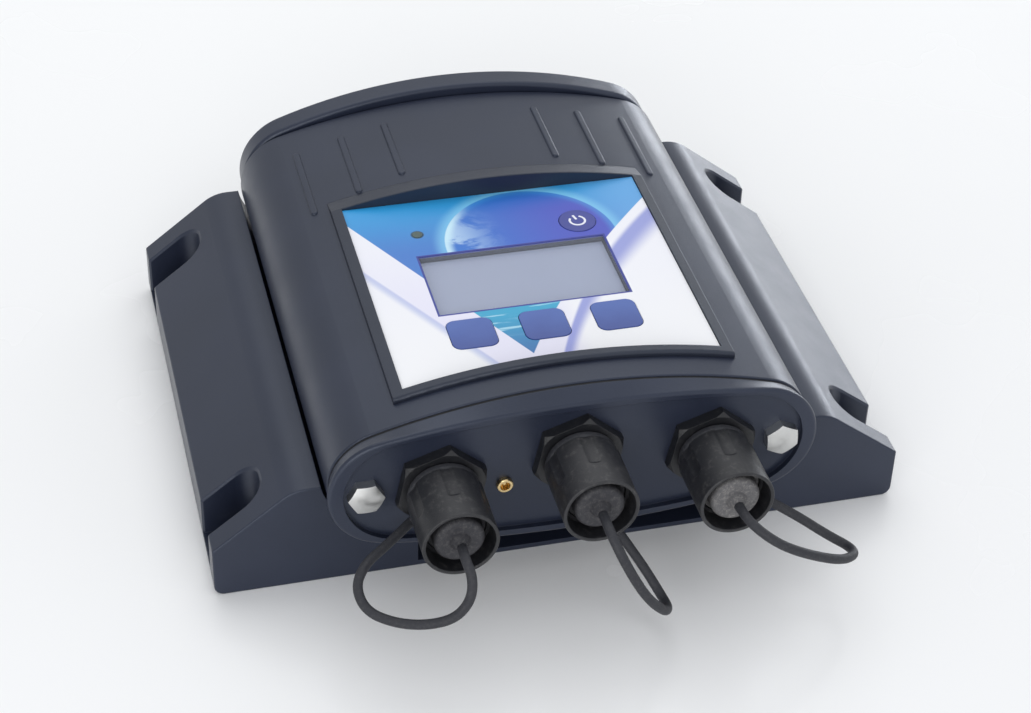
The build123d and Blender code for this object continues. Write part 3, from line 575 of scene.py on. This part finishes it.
def add_power_symbol(material):
    """The generic power symbol printed on the power key: a broken ring and a bar."""
    low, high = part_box("power_key")
    cx, cy = (low.x + high.x) / 2, (low.y + high.y) / 2
    outer, inner, half_bar, print_height = 3.1 * MM, 2.3 * MM, 0.42 * MM, 0.02 * MM
    level = high.z + 0.004 * MM
    half_gap = math.radians(38)
    steps = 48
    shape = bmesh.new()

    def slab(corners):
        bottom = [shape.verts.new((x, y, level)) for x, y in corners]
        top = [shape.verts.new((x, y, level + print_height)) for x, y in corners]
        shape.faces.new(bottom[::-1])
        shape.faces.new(top)
        for index in range(len(corners)):
            following = (index + 1) % len(corners)
            shape.faces.new((bottom[index], bottom[following], top[following], top[index]))

    turn = math.radians(-14)
    sweep = 2 * math.pi - 2 * half_gap
    angles = [turn + half_gap + sweep * step / steps for step in range(steps + 1)]
    arc = [(cx + inner * math.sin(angle), cy + inner * math.cos(angle)) for angle in angles]
    arc += [(cx + outer * math.sin(angle), cy + outer * math.cos(angle)) for angle in reversed(angles)]
    slab(arc)
    along = Vector((math.sin(turn), math.cos(turn)))
    across = Vector((math.cos(turn), -math.sin(turn)))
    middle = Vector((cx, cy))
    foot, tip = 0.7 * MM, 3.5 * MM
    ends = ((-half_bar, foot), (half_bar, foot), (half_bar, tip), (-half_bar, tip))
    slab([tuple(middle + across * sideways + along * distance) for sideways, distance in ends])
    bmesh.ops.recalc_face_normals(shape, faces=shape.faces)
    mesh = bpy.data.meshes.new("power_symbol")
    shape.to_mesh(mesh)
    shape.free()
    add_piece("power_symbol", mesh, "power_key", material)


# ---- put it together ----
def paint(material, *nodes):
    """Gives CAD nodes a material."""
    for name in nodes:
        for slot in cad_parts[name].material_slots:
            slot.material = material


def numbered(*stems):
    """The node names of a part that repeats at each connector."""
    return [f"{stem}_{number}" for stem in stems for number in CONNECTORS]


add_camera()
add_studio()

# ---- finishes ----
housing = moulded_plastic("housing_plastic", srgb(33, 38, 53), srgb(38, 43, 59), 0.32, tint=BLUE_SHEEN)
bezel = moulded_plastic(
    "bezel_plastic", srgb(32, 36, 48), srgb(38, 42, 54), 0.38, edge=0.0005, tint=BLUE_SHEEN
)
nylon = moulded_plastic(
    "connector_nylon", srgb(26, 27, 31), srgb(34, 34, 38), 0.42, grain=0.00007, edge=0.0003, dust=0.14
)
dark_nylon = moulded_plastic(
    "nut_nylon", srgb(18, 19, 23), srgb(25, 26, 30), 0.4, grain=0.00006, edge=0.0003, dust=0.05
)
plug_rubber = rubber("plug_rubber", srgb(44, 44, 49), srgb(58, 58, 62), 0.2)
dusty_rubber = rubber("dusty_plug_rubber", srgb(78, 77, 80), srgb(108, 107, 108), 0.7)
cord_rubber = rubber("cord_rubber", srgb(40, 41, 47), srgb(54, 55, 60), 0.08)
seal_rubber = rubber("seal_rubber", srgb(20, 20, 22), srgb(28, 28, 30))
steel = metal("stainless_steel", (0.6, 0.6, 0.59, 1.0), (0.72, 0.72, 0.7, 1.0), 0.36)
gold = metal("gold_plate", (0.78, 0.56, 0.26, 1.0), (0.92, 0.74, 0.42, 1.0), 0.25)
brass = metal("brass", (0.62, 0.46, 0.2, 1.0), (0.74, 0.56, 0.28, 1.0), 0.3)
board = circuit_board()
chip = moulded_plastic("component_plastic", srgb(22, 22, 24), srgb(30, 30, 32), 0.45)
grey_metal = metal("display_metal", (0.42, 0.43, 0.45, 1.0), (0.5, 0.5, 0.52, 1.0), 0.35)

paint(housing, "mounting_cradle", "body_tube", "front_cap", "rear_cap")
paint(bezel, "display_bezel", "panel_carrier")
paint(LabelPrint().material, "graphic_overlay")
paint(clear_window(), "display_window")
paint(liquid_crystal(), "display_module")
paint(diffuser(), "display_backlight")
paint(light_lens(), "status_led")
paint(key_face(), "soft_key_left", "soft_key_middle", "soft_key_right")
paint(power_face(), "power_key")
paint(nylon, *numbered("connector_shell", "cap_ring"))
paint(dark_nylon, *numbered("panel_nut", "contact_insert"))
paint(plug_rubber, "cap_plug_1", "cap_plug_2")
paint(dusty_rubber, "cap_plug_3")
paint(cord_rubber, *numbered("lanyard_collar"))
paint(seal_rubber, "saddle_pads", "front_gasket", "rear_gasket", *numbered("panel_seal"))
paint(steel, "front_cap_bolts", "rear_cap_bolts", "cradle_screws", "board_screws", "key_domes")
paint(gold, "coax_socket", "coax_contact", "coax_nut")
paint(brass, "threaded_inserts", "board_spacers")
paint(board, "main_board", "keypad_board")
paint(chip, "board_components", "battery_tray")
paint(battery_wrap(), "battery_cells")

for number in CONNECTORS:
    add_lanyard(number, cord_rubber)
add_power_symbol(white_ink())
